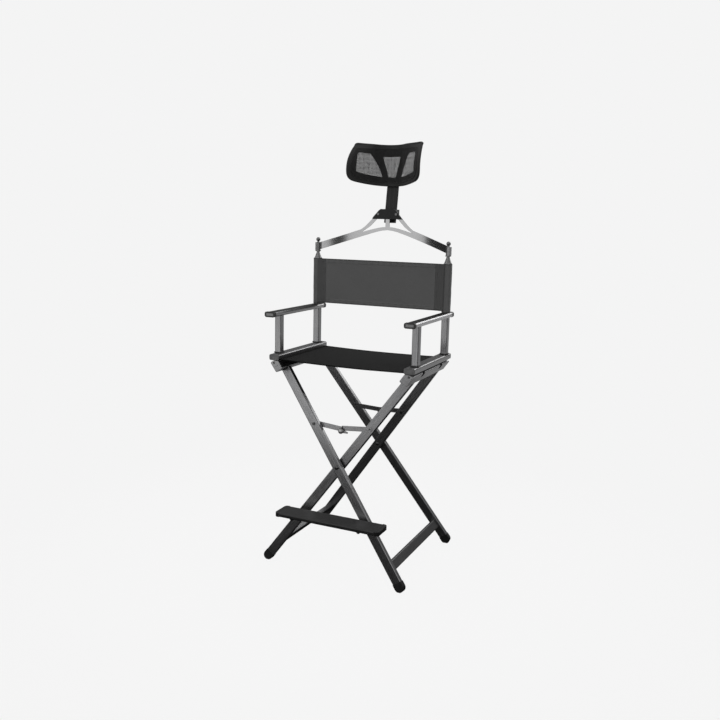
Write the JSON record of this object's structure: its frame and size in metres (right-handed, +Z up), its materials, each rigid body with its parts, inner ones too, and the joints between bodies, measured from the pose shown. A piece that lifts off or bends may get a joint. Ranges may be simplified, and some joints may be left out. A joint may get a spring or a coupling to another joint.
{
  "type": "makeup chair",
  "caption": "Tall folding makeup chair: black scissor frame, canvas seat and back, armrests, footrest, and a lift-off headrest on an arched bracket.",
  "frame": {"origin": "on the floor, under the middle of the chair's overall width and depth", "axes": "+Z up; +Y towards the back of the chair; +X to the right as seen from the front"},
  "size_m": [0.5622, 0.5606, 1.5018],
  "materials": {
    "frame_paint": "graphite anodised, satin",
    "black_plastic": "fine texture",
    "bracket_aluminium": "brushed",
    "pin_steel": "satin",
    "seat_cloth": "plain weave",
    "back_cloth": "plain weave",
    "head_mesh": "open mesh"
  },
  "bodies": {
    "left_side": {"left_seat_rail": "frame_paint", "left_rail_caps": "black_plastic", "left_front_post": "frame_paint", "left_rear_post": "frame_paint", "left_post_collars": "black_plastic", "left_arm": "frame_paint", "left_arm_caps": "black_plastic", "left_finial": "frame_paint", "left_hinge_pin": "pin_steel", "left_knuckles": "black_plastic", "left_seat_rod": "black_plastic", "left_back_sleeve": "back_cloth", "seat_canvas": "seat_cloth", "back_canvas": "back_cloth"},
    "outer_frame": {"outer_front_leg": "frame_paint", "outer_rear_leg": "frame_paint", "outer_stretcher": "frame_paint", "outer_foot_caps": "black_plastic", "left_hinge_rail": "frame_paint", "front_cross_pivot": "pin_steel", "rear_cross_pivot": "pin_steel", "outer_brace_rivets": "pin_steel", "footrest_hinge_pin": "pin_steel"},
    "inner_frame": {"inner_front_leg": "frame_paint", "inner_rear_leg": "frame_paint", "inner_stretcher": "frame_paint", "inner_foot_caps": "black_plastic", "right_hinge_rail": "frame_paint", "inner_brace_rivets": "pin_steel", "footrest_rest_peg": "black_plastic"},
    "right_side": {"right_seat_rail": "frame_paint", "right_rail_caps": "black_plastic", "right_front_post": "frame_paint", "right_rear_post": "frame_paint", "right_post_collars": "black_plastic", "right_arm": "frame_paint", "right_arm_caps": "black_plastic", "right_finial": "frame_paint", "right_hinge_pin": "pin_steel", "right_knuckles": "black_plastic", "right_seat_rod": "black_plastic", "right_back_sleeve": "back_cloth"},
    "front_brace_outer": {"front_outer_link": "frame_paint", "front_brace_knob": "pin_steel"},
    "front_brace_inner": {"front_inner_link": "frame_paint"},
    "rear_brace_outer": {"rear_outer_link": "frame_paint", "rear_brace_knob": "pin_steel"},
    "rear_brace_inner": {"rear_inner_link": "frame_paint"},
    "footrest": {"footrest_board": "frame_paint", "footrest_end_caps": "black_plastic", "footrest_lugs": "black_plastic"},
    "head_bracket": {"bracket_plate": "bracket_aluminium", "headrest_base": "black_plastic", "headrest_screws": "pin_steel", "headrest_clamp": "black_plastic"},
    "head_stem": {"headrest_stem": "black_plastic", "headrest_tilt_pin": "pin_steel"},
    "head_pad": {"headrest_frame": "black_plastic", "headrest_mesh": "head_mesh"}
  },
  "joints": [
    {"name": "fold", "type": "hinge", "parent": "left_side", "child": "outer_frame", "pos_m": [-0.255, 0.03269, 0.726], "axis": [0, 1, 0], "range_deg": [0, 29], "deforming": ["seat_canvas", "back_canvas"]},
    {"name": "cross_pivot", "type": "hinge", "parent": "outer_frame", "child": "inner_frame", "pos_m": [0, 0.03269, 0.381], "axis": [0, 1, 0], "range_deg": [-58, 0]},
    {"name": "right_hinge", "type": "hinge", "parent": "inner_frame", "child": "right_side", "pos_m": [0.255, 0.03269, 0.726], "axis": [0, 1, 0], "range_deg": [0, 29]},
    {"name": "front_brace_outer_hinge", "type": "hinge", "parent": "outer_frame", "child": "front_brace_outer", "pos_m": [-0.10098, -0.13716, 0.521], "axis": [0.0611, 0.9945, -0.0848], "range_deg": [-115, 0]},
    {"name": "front_brace_inner_hinge", "type": "hinge", "parent": "inner_frame", "child": "front_brace_inner", "pos_m": [0.10098, -0.11116, 0.521], "axis": [-0.0611, 0.9945, -0.0848], "range_deg": [0, 115]},
    {"name": "rear_brace_outer_hinge", "type": "hinge", "parent": "outer_frame", "child": "rear_brace_outer", "pos_m": [-0.10098, 0.20255, 0.521], "axis": [-0.0611, 0.9945, 0.0848], "range_deg": [-115, 0]},
    {"name": "rear_brace_inner_hinge", "type": "hinge", "parent": "inner_frame", "child": "rear_brace_inner", "pos_m": [0.10098, 0.17655, 0.521], "axis": [0.0611, 0.9945, 0.0848], "range_deg": [0, 115]},
    {"name": "footrest_flip", "type": "hinge", "parent": "outer_frame", "child": "footrest", "pos_m": [0.12766, -0.24031, 0.204], "axis": [0, 1, 0], "range_deg": [0, 54]},
    {"name": "headrest_lift", "type": "slide", "parent": "left_side", "child": "head_bracket", "axis": [0, 0, 1], "range_m": [0, 0.06]},
    {"name": "headrest_height", "type": "slide", "parent": "head_bracket", "child": "head_stem", "axis": [0, 0.1564, 0.9877], "range_m": [-0.04, 0.02]},
    {"name": "headrest_tilt", "type": "hinge", "parent": "head_stem", "child": "head_pad", "pos_m": [0, 0.27231, 1.37304], "axis": [1, 0, 0], "range_deg": [-25, 0]}
  ],
  "couplings": [
    {"joint": "cross_pivot", "follows": "fold", "ratio": -2},
    {"joint": "right_hinge", "follows": "fold", "ratio": 1},
    {"joint": "front_brace_outer_hinge", "follows": "fold", "ratio": -3.9655},
    {"joint": "front_brace_inner_hinge", "follows": "fold", "ratio": 3.9655},
    {"joint": "rear_brace_outer_hinge", "follows": "fold", "ratio": -3.9655},
    {"joint": "rear_brace_inner_hinge", "follows": "fold", "ratio": 3.9655}
  ]
}
